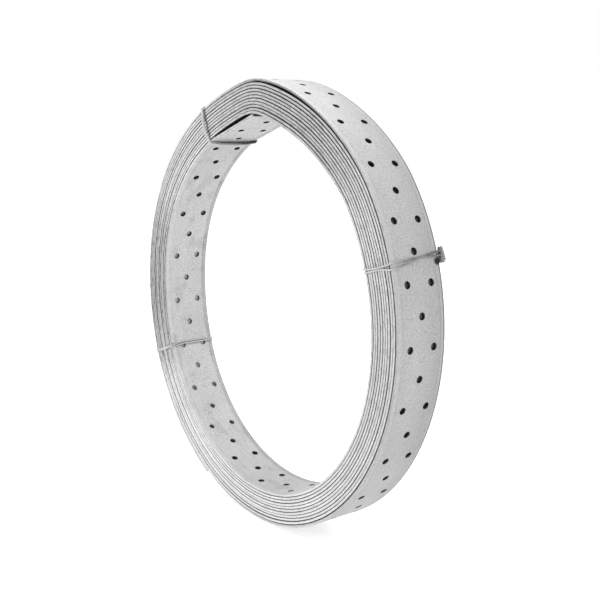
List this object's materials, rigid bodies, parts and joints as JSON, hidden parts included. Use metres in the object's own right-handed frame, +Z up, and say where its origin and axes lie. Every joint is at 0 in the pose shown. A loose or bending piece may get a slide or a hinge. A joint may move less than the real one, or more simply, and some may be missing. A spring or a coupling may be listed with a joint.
{
  "type": "perforated steel strap coil",
  "caption": "A coil of galvanised perforated steel strap standing on its rim, held by three twisted wire ties",
  "frame": {"origin": "centre of the bounding box's base, under the middle of the standing coil", "axes": "+Y along the coil's axis, +Z up, +X across the standing coil"},
  "size_m": [0.33, 0.0451, 0.33],
  "materials": {
    "galvanised_strap": "matt galvanised sheet steel",
    "tie_wire": "drawn galvanised wire"
  },
  "bodies": {
    "root": {"strap_coil": "galvanised_strap", "tie_wire_right": "tie_wire", "tie_wire_top": "tie_wire", "tie_wire_left": "tie_wire"}
  },
  "joints": []
}
